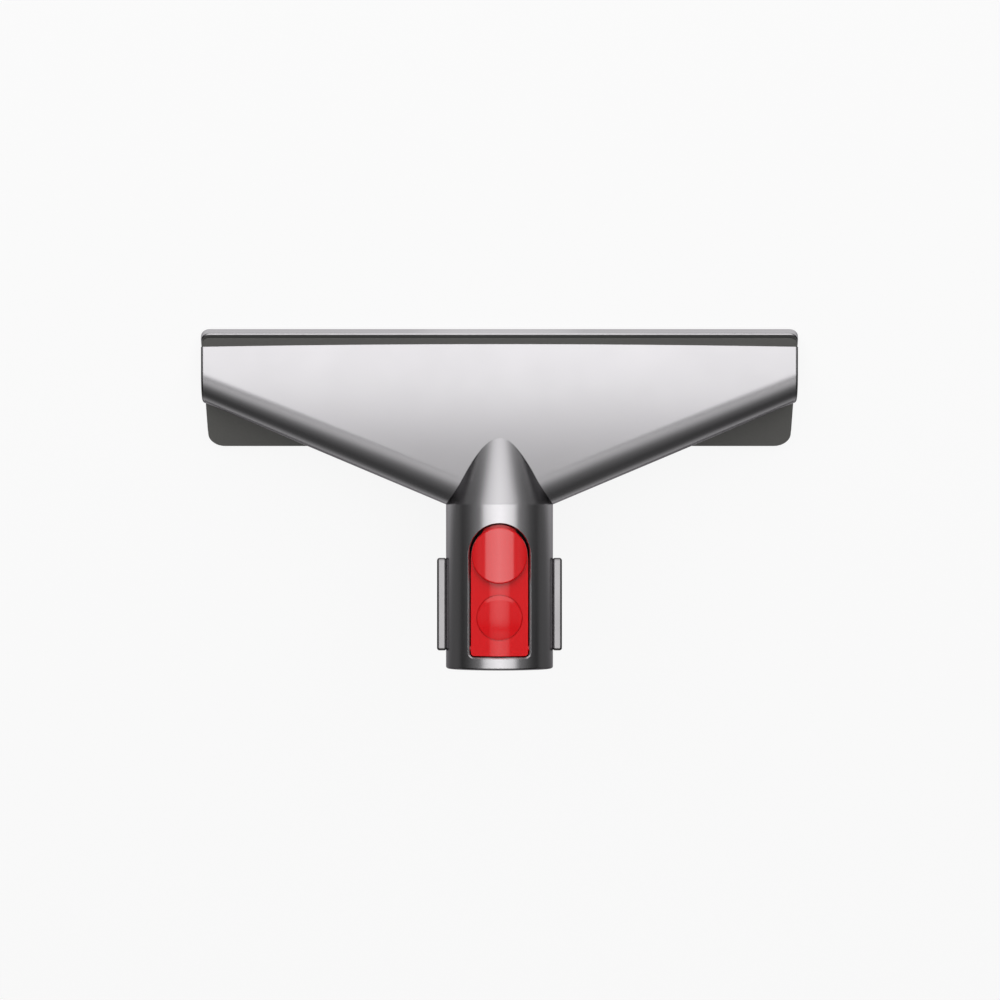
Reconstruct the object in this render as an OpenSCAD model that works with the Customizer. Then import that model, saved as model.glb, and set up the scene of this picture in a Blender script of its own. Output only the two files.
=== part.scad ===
// Mattress nozzle for a cordless vacuum cleaner, with a quick-release neck.
// The sole lies on the plane Z = 0, X runs along the head and the front lip faces -Y.

/* [Head] */
// Width of the head from end to end
head_w = 198.4; // [170:0.2:240]
// Depth of the sole from the front lip to the rear edge
head_d = 50.5; // [46:0.5:64]
// Corner radius of the plates at the front
front_corner_r = 3; // [2:0.2:6]
// Corner radius of the plates at the rear
rear_corner_r = 5.8; // [3:0.2:9]

/* [Sole plate] */
// Thickness of the sole plate
sole_t = 2.9; // [2.6:0.1:5]
// Rounding of the sole's lower edge, which glides on the fabric
sole_lower_r = 0.6; // [0.4:0.1:1.7]
// Rounding of the sole's upper edge
sole_upper_r = 0.8; // [0.3:0.1:0.8]
// Length of the suction slot
slot_l = 176; // [120:1:180]
// Width of the suction slot
slot_w = 9; // [6:0.5:11]
// Chamfer round the slot's mouth
slot_chamfer = 0.8; // [0.3:0.1:1]
// Number of bridges across the slot
bridge_count = 5; // [1:1:9]
// Thickness of a bridge
bridge_t = 1.6; // [1.2:0.1:3]
// How far the bridges lie above the sole's face
bridge_recess = 0.9; // [0.8:0.1:1.4]

/* [Lint strips] */
// Length of a velour strip
strip_l = 172; // [100:1:176]
// Width of a velour strip
strip_w = 6; // [4:0.2:6.6]
// Thickness of a velour strip
strip_t = 0.9; // [0.6:0.1:1.1]
// How far the pile is set back from the sole's face
strip_set_back = 0.1; // [0.05:0.05:0.2]
// Land left between the slot and each strip
strip_land = 4.2; // [3.6:0.1:4.6]
// Gap round each strip in its recess
strip_gap = 0.15; // [0.1:0.05:0.3]

/* [Cover plate] */
// Thickness of the cover plate
cover_t = 1.7; // [1.4:0.1:3]
// Step between the outlines of the sole and the cover
cover_step = 0.3; // [0:0.1:1]
// Rounding of the cover's upper edge
cover_edge_r = 0.4; // [0.2:0.1:0.6]
// Height of the ribs that locate the duct's front and rear walls
rib_h = 2.4; // [1:0.2:4]
// Thickness of a locating rib
rib_t = 1.2; // [0.8:0.1:1.6]
// Gap between a rib and the duct's wall
rib_gap = 0.1; // [0.05:0.05:0.2]
// Length of the front rib
front_rib_l = 180; // [120:2:188]
// Length of the rear rib, where the duct is at its full height
rear_rib_l = 110; // [60:2:120]
// Width of the weld rib under the cover
weld_rib_w = 1.2; // [0.8:0.1:1.6]
// Height of the weld rib
weld_rib_h = 0.8; // [0.5:0.1:1]
// Distance of the weld rib from the cover's outline
weld_rib_inset = 2; // [1.6:0.1:3]
// Gap round the weld rib in its groove
weld_gap = 0.1; // [0.05:0.05:0.15]

/* [Duct] */
// Thickness of the fan at its middle
duct_t = 20.6; // [18:0.2:22]
// Fall of its face from the middle to the ends
face_drop = 0.85; // [0.3:0.05:1.5]
// Wall of the duct
duct_wall = 2; // [1.6:0.1:2.4]
// Height, along the neck, at which the sloping edge meets the end
fan_end_v = 15.1; // [13:0.1:20]
// How much larger the radius of the sloping edge is than half the fan's thickness
edge_extra_r = 0.25; // [0.2:0.05:0.4]
// Rounding of the edges of the two ends
end_edge_r = 1; // [0.5:0.1:1.5]
// Length of the shoulder that swells from the face to the neck
shoulder_l = 21.4; // [18:0.2:26]
// Radius of the shoulder's side, seen along the head
shoulder_side_r = 124; // [90:1:300]

/* [Neck] */
// Angle of the neck above the sole
neck_tilt = 45; // [40:1:50]
// Where the neck's axis meets the plane of the sole
neck_foot_y = -12.4; // [-14:0.1:-10]
// Distance of the seam from there, along the neck
seam_v = 49.4; // [44:0.1:60]
// Outside diameter of the neck
neck_d = 35.8; // [35:0.1:38]

/* [Spigot] */
// Diameter of the airway
bore_d = 26.6; // [22:0.1:26.8]
// Offset of the airway towards the back, which makes room for the latch
bore_offset = 1.5; // [1:0.1:2]
// Length of the duct's socket inside the spigot
socket_l = 4.6; // [3:0.1:5]
// Wall of the spigot round the socket
socket_wall = 1.9; // [1.6:0.1:2.2]
// Radial gap between the socket and the spigot
socket_gap = 0.05; // [0.02:0.01:0.15]
// Rounding of the mouth's outer edge
mouth_round = 0.8; // [0.4:0.1:1]
// Chamfer of the mouth's inner edge
mouth_chamfer = 0.6; // [0.3:0.1:1]
// Length of a side key
key_l = 31; // [20:0.5:34]
// How far a side key stands out
key_h = 3; // [2:0.1:4]
// Thickness of a side key
key_t = 4; // [3:0.1:6]
// Distance of the keys from the mouth
key_from_mouth = 6; // [3:0.5:10]
// Rounding of the keys' outer corners
key_corner_r = 0.8; // [0.3:0.1:1.4]

/* [Latch window] */
// Width of the window in the spigot
window_w = 19.74; // [18:0.02:20.4]
// Distance of the window from the mouth
window_from_mouth = 4.3; // [3:0.1:6]
// Length of the window
window_l = 44.3; // [42:0.1:60]
// Distance of the window's round end from the socket
window_land = 1.6; // [1.2:0.1:10]
// Corner radius of the window beside the mouth
window_corner_r = 1.5; // [1:0.1:3]
// Wall left between the latch's pocket and the airway
pocket_wall = 1.15; // [0.9:0.05:1.3]

/* [Release latch] */
// Gap between the latch and its window
latch_gap = 0.4; // [0.3:0.05:0.6]
// Thickness of the latch's shell
latch_t = 1.7; // [1.4:0.1:1.8]
// How far the shell lies below the neck's surface at its middle
latch_sink = 0.4; // [0.2:0.1:0.8]
// Radius of the shell's crown
latch_crown_r = 10.4; // [9:0.2:14]
// Slope of the shell's flanks beside the crown
latch_flank = 20; // [14:1:24]
// Diameter of the push button
button_d = 18.6; // [16:0.1:18.8]
// How far the button stands above the neck's surface
button_rise = 2; // [1:0.1:3]
// Crown radius of the button's face
button_crown_r = 16.4; // [14:0.2:20]
// Shift of the button from the middle of the window's round end
button_shift = 0.76; // [0.5:0.02:1.2]
// Thickness of the button's face
button_face_t = 1.8; // [1.4:0.1:2.2]
// Wall of the button's skirt
button_wall = 1.8; // [1.4:0.1:2.2]
// Height of the spring's flat seat under the button's face
button_seat_h = 0.45; // [0.4:0.05:0.6]
// Diameter of the round catch
catch_d = 14.7; // [12:0.1:16]
// Distance of the catch's middle from the mouth
catch_from_mouth = 17.4; // [16.6:0.1:18]
// Height of the catch's locking edge above the shell
catch_rise = 0.95; // [0.5:0.05:1]
// Turn of the latch when it is pressed
latch_travel = 3.6; // [2:0.1:3.8]
// Gap left under the latch when it is pressed
latch_floor_gap = 0.15; // [0.1:0.05:0.3]
// Distance of the pivot from the mouth
pivot_from_mouth = 7.2; // [6.8:0.1:8]
// Depth of the pivot below the neck's surface
pivot_depth = 5.1; // [5:0.1:5.4]
// Diameter of a trunnion
trunnion_d = 2; // [1.6:0.1:2.2]
// How far a trunnion stands out of its ear
trunnion_l = 1.1; // [0.8:0.05:1.2]
// Radial running gap of a trunnion in its dimple
trunnion_gap = 0.05; // [0.03:0.01:0.09]
// Thickness of a trunnion's ear
ear_t = 1.25; // [1:0.05:1.5]
// Radius of an ear's round foot
ear_r = 1.7; // [1.5:0.05:1.8]
// Gap past the end of a trunnion in its dimple
dimple_end_gap = 0.1; // [0.05:0.05:0.2]

/* [Latch spring] */
// Diameter of the spring's wire
wire_d = 0.45; // [0.4:0.05:0.7]
// Diameter of the coil, between the wire's centres
coil_d = 5.1; // [4.6:0.1:6]
// Number of turns
coil_turns = 3.5; // [3:0.5:4.5]
// Height of the pad under the spring
seat_h = 0.25; // [0.1:0.05:0.5]
// Diameter of the guide pins inside the coil
guide_d = 3.4; // [2:0.1:3.8]
// Height of the guide pin on the spigot
guide_h = 0.55; // [0.3:0.05:0.8]
// Gap between the two guide pins, more than the button's travel
guide_gap = 2.4; // [2.2:0.1:2.6]

/* [Hidden] */
$fn = 96;
fine = 720;
eps = 0.01;
far = 200;

silver = [0.66, 0.66, 0.68];
dark_grey = [0.27, 0.27, 0.27];
red = [0.78, 0.08, 0.1];
dark_red = [0.45, 0.03, 0.06];
steel = [0.75, 0.75, 0.76];

// Heights and radii
cover_top = sole_t + cover_t;
neck_r = neck_d / 2;
bore_r = bore_d / 2;
socket_end_v = seam_v + socket_l;
spigot_l = socket_l + window_land + window_l + window_from_mouth;
mouth_v = seam_v + spigot_l;
pocket_r = bore_r + pocket_wall;

// The slot lies under the middle of the duct's foot
slot_y = neck_foot_y + cover_top / tan(neck_tilt);
strip_y = slot_w / 2 + strip_land + strip_w / 2;

// The fan's face is a large arc across the head
crown_r = (pow(head_w / 2, 2) + pow(face_drop, 2)) / (2 * face_drop);
crown_steps = 12;
rib_steps = 4;

// The sloping edge is a slim cone whose silhouette runs from the seam to the head's end
slope_x = head_w / 2 - neck_r;
slope_v = seam_v - fan_end_v;
slope_l = norm([slope_x, slope_v]);
slope_a = atan2(slope_v, slope_x);
edge_r_top = duct_t / 2 + edge_extra_r - pow(neck_r, 2) / (2 * crown_r);
edge_r_end = duct_t / 2 + edge_extra_r - face_drop;
edge_taper = (edge_r_end - edge_r_top) / slope_l;
edge_start = (sin(slope_a) * edge_r_top - neck_r) / (cos(slope_a) - edge_taper * sin(slope_a));
edge_past = 12;

// The shoulder's side is an arc from the fan's face to the seam
shoulder_chord = [neck_r - duct_t / 2, shoulder_l];
shoulder_out = [shoulder_l, duct_t / 2 - neck_r] / norm(shoulder_chord);
shoulder_mid = [(neck_r + duct_t / 2) / 2, seam_v - shoulder_l / 2];
shoulder_c = shoulder_mid
           - shoulder_out * sqrt(pow(shoulder_side_r, 2) - pow(norm(shoulder_chord) / 2, 2));
shoulder_root = 3;
shoulder_buried = 5;
passage_slope = 0.45;

// Levels of the latch, counted from the neck's axis towards the front
latch_top = neck_r - latch_sink;
crown_c = latch_top - latch_crown_r;
latch_half = window_w / 2 - latch_gap;
button_top = neck_r + button_rise;
pivot_w = neck_r - pivot_depth;
seat_w = pocket_r - bore_offset + seat_h;
hollow_top_w = button_top - button_face_t;
spring_top_w = hollow_top_w - button_seat_h;
spring_seat_d = coil_d + 3 * wire_d;

// Places of the latch along the neck
window_end_v = mouth_v - window_from_mouth;
window_round_v = window_end_v - window_l + window_w / 2;
button_v = window_round_v + button_shift;
catch_v = mouth_v - catch_from_mouth;
pivot_v = mouth_v - pivot_from_mouth;
latch_head_v = window_end_v - window_l + latch_gap;
head_stroke = (pivot_v - latch_head_v) * sin(latch_travel);

// Puts what is drawn along +Z on the neck's axis, with its front towards the front of the head
module on_neck() {
    translate([0, neck_foot_y, 0])
        rotate([neck_tilt - 90, 0, 0])
            children();
}

// Extrudes an outline drawn across and along the neck from depth a out to depth b
module outwards(a, b) {
    translate([0, -a, 0])
        rotate([90, 0, 0])
            linear_extrude(b - a)
                children();
}

module slab_below(z) {
    translate([-far, -far, z - 2 * far])
        cube([2 * far, 2 * far, 2 * far]);
}

// Section of a plate's edge, with its lower and upper corners rounded
module edge_section(reach, t, lower_r, upper_r) {
    translate([0, lower_r])
        square([reach, t - lower_r - upper_r]);
    square([reach - lower_r, t]);
    translate([0, t / 2])
        square([reach - upper_r, t / 2]);
    intersection() {
        translate([reach - lower_r, lower_r])
            circle(lower_r);
        translate([reach - lower_r, 0])
            square([lower_r, lower_r]);
    }
    intersection() {
        translate([reach - upper_r, t - upper_r])
            circle(upper_r);
        translate([reach - upper_r, t - upper_r])
            square([upper_r, upper_r]);
    }
}

// Plate with rounded corners and rounded edges, standing on Z = 0
module round_plate(w, d, t, front_r, rear_r, lower_r, upper_r) {
    for (side = [-1, 1]) {
        translate([side * (w / 2 - front_r), front_r - d / 2, 0])
            rotate_extrude()
                edge_section(front_r, t, lower_r, upper_r);
        translate([side * (w / 2 - rear_r), d / 2 - rear_r, 0])
            rotate_extrude()
                edge_section(rear_r, t, lower_r, upper_r);
    }
    rotate([90, 0, 90])
        linear_extrude(w - 2 * rear_r, center = true)
            edge_section(d / 2, t, lower_r, upper_r);
    mirror([0, 1, 0])
        rotate([90, 0, 90])
            linear_extrude(w - 2 * front_r, center = true)
                edge_section(d / 2, t, lower_r, upper_r);
    for (side = [0, 1])
        mirror([side, 0, 0])
            translate([0, d / 2 - rear_r, 0])
                rotate([90, 0, 0])
                    linear_extrude(d - rear_r - front_r)
                        edge_section(w / 2, t, lower_r, upper_r);
}

// Outline of the plates, drawn in by a distance
module plate_outline(inset) {
    front_r = max(front_corner_r - inset, 0.5);
    rear_r = max(rear_corner_r - inset, 0.5);
    half_w = head_w / 2 - inset;
    half_d = head_d / 2 - inset;
    for (side = [-1, 1]) {
        translate([side * (half_w - front_r), front_r - half_d])
            circle(front_r);
        translate([side * (half_w - rear_r), half_d - rear_r])
            circle(rear_r);
    }
    translate([front_r - half_w, -half_d])
        square([2 * (half_w - front_r), half_d]);
    translate([rear_r - half_w, 0])
        square([2 * (half_w - rear_r), half_d]);
    translate([-half_w, front_r - half_d])
        square([2 * half_w, 2 * half_d - front_r - rear_r]);
}

// Slot with round ends, centred on the origin
module slot_outline(l, w) {
    square([l - w, w], center = true);
    for (side = [-1, 1])
        translate([side * (l - w) / 2, 0])
            circle(w / 2);
}

module slot_chamfers() {
    r = slot_w / 2;
    reach = slot_l / 2 - r;
    for (side = [-1, 1])
        translate([side * reach, 0, -eps])
            cylinder(h = slot_chamfer + eps, r1 = r + slot_chamfer + eps, r2 = r);
    rotate([90, 0, 90])
        linear_extrude(2 * reach, center = true)
            polygon([[-r - slot_chamfer - eps, -eps], [r + slot_chamfer + eps, -eps],
                     [r, slot_chamfer], [-r, slot_chamfer]]);
}

module bridges(low) {
    pitch = slot_l / (bridge_count + 1);
    for (i = [1 : bridge_count])
        translate([i * pitch - slot_l / 2 - bridge_t / 2, -slot_w, low])
            cube([bridge_t, 2 * slot_w, sole_t]);
}

module strip_solid(grow, z, t) {
    translate([0, 0, z])
        linear_extrude(t)
            slot_outline(strip_l + 2 * grow, strip_w + 2 * grow);
}

module weld_ring(gap) {
    inset = cover_step + weld_rib_inset;
    difference() {
        plate_outline(inset - gap);
        plate_outline(inset + weld_rib_w + gap);
    }
}

// Silver sole: a lipped plate with the suction slot, its bridges and the recesses of the strips
module sole_plate() {
    recess_t = strip_set_back + strip_t;
    color(silver)
        difference() {
            round_plate(head_w, head_d, sole_t, front_corner_r, rear_corner_r,
                        sole_lower_r, sole_upper_r);
            translate([0, slot_y, 0]) {
                difference() {
                    translate([0, 0, -eps])
                        linear_extrude(sole_t + 2 * eps)
                            slot_outline(slot_l, slot_w);
                    bridges(bridge_recess);
                }
                slot_chamfers();
                for (side = [-1, 1])
                    translate([0, side * strip_y, 0])
                        strip_solid(strip_gap, -eps, recess_t + eps);
            }
            translate([0, 0, sole_t - weld_rib_h - weld_gap])
                linear_extrude(weld_rib_h + weld_gap + eps)
                    weld_ring(weld_gap);
        }
}

module lint_strip(side) {
    color(dark_red)
        translate([0, slot_y + side * strip_y, 0])
            strip_solid(0, strip_set_back, strip_t);
}

// Axis point, radius and direction of the sloping edge at a distance from the seam
function edge_r(s) = edge_r_top + edge_taper * s;
function edge_axis(s) = [neck_r + s * cos(slope_a) - edge_r(s) * sin(slope_a),
                         seam_v - s * sin(slope_a) - edge_r(s) * cos(slope_a)];

// Height of the fan's face over its middle plane, at a distance from the middle of the head
function crown_w(x, inset) =
    duct_t / 2 - crown_r + sqrt(pow(crown_r - inset, 2) - pow(x, 2));

// Section of the fan across the neck's axis: a crowned face on both sides and rounded ends
module fan_section(inset) {
    half_w = head_w / 2 - inset;
    half_t = duct_t / 2 - inset;
    end_t = half_t - face_drop;
    r = end_edge_r - inset;
    intersection() {
        if (r > 0) {
            square([2 * (half_w - r), 2 * half_t], center = true);
            square([2 * half_w, 2 * (end_t - r)], center = true);
            for (side = [-1, 1], face = [-1, 1])
                translate([side * (half_w - r), face * (end_t - r)])
                    circle(r);
        } else {
            square([2 * half_w, 2 * half_t], center = true);
        }
        polygon([for (face = [-1, 1], i = [-crown_steps : crown_steps])
            let (x = face * i / crown_steps * head_w / 2)
            [-x, face * crown_w(x, inset)]]);
    }
}

// The fan, drawn in by a distance, from below the sole up to the sloping edges
module fan(inset) {
    top = edge_axis(edge_start);
    end = edge_axis(slope_l + edge_past);
    run = end - top;
    low_v = -duct_t;
    intersection() {
        translate([0, 0, low_v])
            linear_extrude(seam_v + duct_t)
                fan_section(inset);
        union() {
            outwards(-duct_t, duct_t)
                polygon([[0, top[1]], [end[0], end[1]], [end[0], low_v - 1],
                         [-end[0], low_v - 1], [-end[0], end[1]]]);
            for (side = [0, 1])
                mirror([side, 0, 0])
                    translate([top[0], 0, top[1]])
                        rotate([0, atan2(run[0], run[1]), 0])
                            cylinder(h = norm(run), r1 = edge_r(edge_start) - inset,
                                     r2 = edge_r(slope_l + edge_past) - inset);
        }
    }
}

// The shoulder, drawn in by a distance, up to a level along the neck
module shoulder(inset, top_v) {
    low_v = seam_v - shoulder_l - shoulder_buried;
    rotate_extrude()
        intersection() {
            translate(shoulder_c)
                circle(shoulder_side_r - inset, $fn = fine);
            translate([0, low_v])
                square([neck_r, top_v - low_v]);
        }
}

// The airway from the shoulder to the spigot, which moves over to the offset bore
module passage() {
    root_v = seam_v - shoulder_root;
    l = socket_end_v - root_v;
    intersection() {
        translate([0, bore_offset, root_v])
            cylinder(h = l + eps, r1 = bore_r + passage_slope * l, r2 = bore_r);
        translate([0, 0, root_v - eps])
            cylinder(h = l + 3 * eps, r = bore_r + bore_offset);
    }
}

// Silver duct: a hollow fan, its shoulder and the socket that the spigot slides on
module duct_body() {
    socket_r = neck_r - socket_wall - socket_gap;
    color(silver)
        difference() {
            on_neck()
                difference() {
                    union() {
                        intersection() {
                            fan(0);
                            translate([0, 0, seam_v - far])
                                cylinder(h = far, r = far);
                        }
                        shoulder(0, seam_v);
                        translate([0, 0, seam_v - shoulder_root])
                            cylinder(h = socket_l + shoulder_root, r = socket_r);
                    }
                    fan(duct_wall);
                    shoulder(duct_wall, seam_v - shoulder_root);
                    passage();
                }
            slab_below(cover_top);
        }
}

// Points along the fan's face, drawn in by a distance
function face_line(l, inset) =
    [for (i = [-rib_steps : rib_steps])
        let (x = i / rib_steps * l / 2)
        [x, crown_w(x, inset)]];

// Rib on the cover, inside the duct's front wall, or its rear wall when mirrored
module locating_rib(l) {
    outer = face_line(l, duct_wall + rib_gap);
    inner = face_line(l, duct_wall + rib_gap + rib_t);
    translate([0, 0, -duct_t])
        linear_extrude(3 * duct_t)
            mirror([0, 1, 0])
                polygon(concat(outer, [for (i = [2 * rib_steps : -1 : 0]) inner[i]]));
}

// Dark-grey cover: a plate with the duct's aperture, locating ribs above and a weld rib below
module cover_plate() {
    color(dark_grey) {
        difference() {
            translate([0, 0, sole_t])
                round_plate(head_w - 2 * cover_step, head_d - 2 * cover_step, cover_t,
                            front_corner_r - cover_step, rear_corner_r - cover_step,
                            cover_edge_r / 2, cover_edge_r);
            on_neck()
                fan(duct_wall + rib_gap + rib_t);
        }
        difference() {
            on_neck() {
                locating_rib(front_rib_l);
                mirror([0, 1, 0])
                    locating_rib(rear_rib_l);
            }
            slab_below(sole_t + cover_t / 2);
            translate([-far, -far, cover_top + rib_h])
                cube([2 * far, 2 * far, far]);
        }
        translate([0, 0, sole_t - weld_rib_h])
            linear_extrude(weld_rib_h + cover_t / 2)
                weld_ring(0);
    }
}

// Window of the latch, drawn in by a gap
module window_outline(inset) {
    half = window_w / 2 - inset;
    end_v = window_end_v - inset;
    r = max(window_corner_r - inset, 0.3);
    translate([0, window_round_v])
        circle(half);
    translate([-half, window_round_v])
        square([2 * half, end_v - r - window_round_v]);
    translate([r - half, window_round_v])
        square([2 * (half - r), end_v - window_round_v]);
    for (side = [-1, 1])
        translate([side * (half - r), end_v - r])
            circle(r);
}

module key_outline() {
    low_v = mouth_v - key_from_mouth - key_l;
    reach = neck_r + key_h;
    translate([0, low_v + key_corner_r])
        square([reach, key_l - 2 * key_corner_r]);
    translate([0, low_v])
        square([reach - key_corner_r, key_l]);
    for (v = [low_v + key_corner_r, low_v + key_l - key_corner_r])
        translate([reach - key_corner_r, v])
            circle(key_corner_r);
}

module tube_section() {
    square([neck_r, spigot_l - mouth_round]);
    square([neck_r - mouth_round, spigot_l]);
    translate([neck_r - mouth_round, spigot_l - mouth_round])
        circle(mouth_round);
}

// Silver spigot: the tube of the neck with its keys, the latch's pocket and the offset airway
module spigot() {
    color(silver)
        on_neck() {
            difference() {
                union() {
                    translate([0, 0, seam_v])
                        rotate_extrude()
                            tube_section();
                    for (side = [0, 1])
                        mirror([side, 0, 0])
                            outwards(-key_t / 2, key_t / 2)
                                key_outline();
                }
                translate([0, 0, seam_v - eps])
                    cylinder(h = socket_l + 2 * socket_gap + eps, r = neck_r - socket_wall);
                translate([0, bore_offset, seam_v])
                    cylinder(h = spigot_l + eps, r = bore_r);
                translate([0, bore_offset, mouth_v - mouth_chamfer])
                    cylinder(h = mouth_chamfer + eps, r1 = bore_r, r2 = bore_r + mouth_chamfer);
                difference() {
                    outwards(bore_offset, 2 * neck_r)
                        window_outline(0);
                    translate([0, bore_offset, seam_v])
                        cylinder(h = spigot_l, r = pocket_r);
                }
                for (side = [0, 1])
                    mirror([side, 0, 0])
                        translate([latch_half - eps, -pivot_w, pivot_v])
                            rotate([0, 90, 0])
                                cylinder(h = trunnion_l + dimple_end_gap + eps,
                                         d = trunnion_d + 2 * trunnion_gap);
            }
            spring_seat();
        }
}

// Pad and guide pin that the spring stands on, on the pocket's floor
module spring_seat() {
    buried = pocket_wall / 2 + seat_h;
    translate([0, -seat_w, button_v])
        rotate([90, 0, 0]) {
            translate([0, 0, -buried])
                cylinder(h = buried, d = spring_seat_d);
            cylinder(h = guide_h, d = guide_d);
        }
}

// Section of the latch's shell: a crown with straight flanks, drawn in by a thickness
module shell_section(inset) {
    r = latch_crown_r - inset;
    t = [r * sin(latch_flank), crown_c + r * cos(latch_flank)];
    intersection() {
        union() {
            translate([0, -crown_c])
                circle(r);
            polygon([[-t[0], -t[1]], [t[0], -t[1]],
                     [latch_half, -t[1] + (latch_half - t[0]) * tan(latch_flank)],
                     [latch_half, 0], [-latch_half, 0],
                     [-latch_half, -t[1] + (latch_half - t[0]) * tan(latch_flank)]]);
        }
        translate([-latch_half, -neck_d])
            square([2 * latch_half, neck_d]);
    }
}

// Depth of the middle of the shell's thickness at its side
function shell_side_w() =
    let (r = latch_crown_r - latch_t / 2)
    crown_c + r * cos(latch_flank) - (latch_half - r * sin(latch_flank)) * tan(latch_flank);

module shell_bar(inset, from_v, to_v) {
    translate([0, 0, from_v])
        linear_extrude(to_v - from_v)
            shell_section(inset);
}

// Round pad whose face runs up from the shell to the locking edge
module catch_pad() {
    foot_v = catch_v + catch_d / 2;
    intersection() {
        translate([0, -latch_top, foot_v])
            rotate([-asin(catch_rise / catch_d), 0, 0])
                translate([0, latch_top, -2 * catch_d])
                    linear_extrude(2 * catch_d + 1)
                        shell_section(0);
        outwards(shell_side_w(), button_top)
            translate([0, catch_v])
                circle(catch_d / 2);
    }
}

// Round solid under a cylindrical crown, which the button and its hollow share
module crowned_disc(d, low_w, top_w) {
    intersection() {
        outwards(low_w, top_w + 1)
            translate([0, button_v])
                circle(d / 2);
        translate([0, button_crown_r - button_top, button_v - d])
            cylinder(h = 2 * d, r = button_crown_r - button_top + top_w);
    }
}

module latch_ear() {
    top_w = shell_side_w();
    translate([latch_half - ear_t, 0, 0]) {
        translate([0, -top_w, pivot_v - ear_r])
            cube([ear_t, top_w - pivot_w, 2 * ear_r]);
        translate([0, -pivot_w, pivot_v])
            rotate([0, 90, 0]) {
                cylinder(h = ear_t, r = ear_r);
                cylinder(h = ear_t + trunnion_l, d = trunnion_d);
            }
    }
}

// Red latch: a crowned lever with the push button, the catch and the ears of its pivot
module release_latch() {
    tip_v = window_round_v - window_w;
    guide_low_w = seat_w + guide_h + guide_gap;
    color(red)
        on_neck() {
            difference() {
                union() {
                    intersection() {
                        shell_bar(0, tip_v, mouth_v);
                        outwards(0, neck_d)
                            window_outline(latch_gap);
                    }
                    catch_pad();
                    crowned_disc(button_d, shell_side_w(), button_top);
                }
                difference() {
                    shell_bar(latch_t, tip_v, mouth_v);
                    crowned_disc(button_d, shell_side_w(), hollow_top_w);
                }
                crowned_disc(button_d - 2 * button_wall, 0, hollow_top_w);
                translate([0, bore_offset, tip_v])
                    cylinder(h = button_v + button_d - tip_v,
                             r = pocket_r + head_stroke + latch_floor_gap);
            }
            for (side = [0, 1])
                mirror([side, 0, 0])
                    latch_ear();
            outwards(guide_low_w, hollow_top_w)
                translate([0, button_v])
                    circle(guide_d / 2);
            outwards(spring_top_w, hollow_top_w + button_face_t / 2)
                translate([0, button_v])
                    circle(spring_seat_d / 2);
        }
}

// Helix with closed ends: height of the wire's centre after a share of the turns
function coil_height(turn, free_h) =
    let (closed = 0.75, dead = closed * wire_d, live = coil_turns - 2 * closed)
    turn < closed ? turn * wire_d
    : turn < coil_turns - closed ? dead + (turn - closed) / live * (free_h - 2 * dead)
    : free_h - (coil_turns - turn) * wire_d;

// Steel coil spring between the pad in the pocket and the button
module latch_spring() {
    sides = 8;
    steps = 14;
    rings = round(coil_turns * steps);
    free_h = spring_top_w - seat_w - wire_d;
    wire = [for (i = [0 : rings], j = [0 : sides - 1])
        let (turn = i / steps, a = 360 * turn, b = 360 * j / sides,
             r = coil_d / 2 + wire_d / 2 * cos(b))
        [r * cos(a), r * sin(a),
         wire_d / 2 + coil_height(turn, free_h) + wire_d / 2 * sin(b)]];
    skin = [for (i = [0 : rings - 1], j = [0 : sides - 1])
        let (k = (j + 1) % sides)
        [i * sides + j, (i + 1) * sides + j, (i + 1) * sides + k, i * sides + k]];
    ends = [[for (j = [0 : sides - 1]) j],
            [for (j = [sides - 1 : -1 : 0]) rings * sides + j]];
    color(steel)
        on_neck()
            translate([0, -seat_w, button_v])
                rotate([90, 0, 0])
                    polyhedron(wire, concat(skin, ends));
}

sole_plate();
cover_plate();
duct_body();
spigot();
release_latch();
latch_spring();
lint_strip(-1);  // lint_strip_front
lint_strip(1);  // lint_strip_rear
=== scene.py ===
import math

import bpy
from mathutils import Matrix, Vector, noise
from mathutils.geometry import delaunay_2d_cdt


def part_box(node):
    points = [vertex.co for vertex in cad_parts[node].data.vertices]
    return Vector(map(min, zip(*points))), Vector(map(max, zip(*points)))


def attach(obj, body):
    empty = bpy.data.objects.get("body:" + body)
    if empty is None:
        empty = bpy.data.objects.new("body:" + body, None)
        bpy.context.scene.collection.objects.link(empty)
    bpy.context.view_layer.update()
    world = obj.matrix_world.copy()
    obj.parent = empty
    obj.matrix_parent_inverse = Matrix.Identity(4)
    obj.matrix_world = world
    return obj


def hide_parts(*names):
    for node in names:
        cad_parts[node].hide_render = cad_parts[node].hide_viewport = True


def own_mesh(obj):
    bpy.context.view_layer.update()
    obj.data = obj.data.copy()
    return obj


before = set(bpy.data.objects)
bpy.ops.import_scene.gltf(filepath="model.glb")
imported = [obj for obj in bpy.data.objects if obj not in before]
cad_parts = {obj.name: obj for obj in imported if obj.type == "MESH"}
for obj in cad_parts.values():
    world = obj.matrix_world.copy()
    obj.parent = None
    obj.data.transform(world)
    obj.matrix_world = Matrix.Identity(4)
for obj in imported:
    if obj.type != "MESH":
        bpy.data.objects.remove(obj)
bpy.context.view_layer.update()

# Studio. The nozzle stands on a pale sweep under a wide soft panel, and the camera looks
# straight down on its neck. Places on the nozzle are x, v and w: millimetres across, along
# and in front of the neck's axis.
scene = bpy.context.scene
MM = 0.001
NECK_TILT = math.radians(45)
NECK_FOOT_Y = -12.4
ACROSS_NECK = Vector((1, 0, 0))
ALONG_NECK = Vector((0, math.cos(NECK_TILT), math.sin(NECK_TILT)))
OUT_OF_NECK = Vector((0, -math.sin(NECK_TILT), math.cos(NECK_TILT)))
CAMERA_DISTANCE = 1271
CAMERA_V = 47.9
CAMERA_X = -0.17
CAMERA_LENS = 136.8
SENSOR_WIDTH = 36
VIEW_REACH = 50


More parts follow.
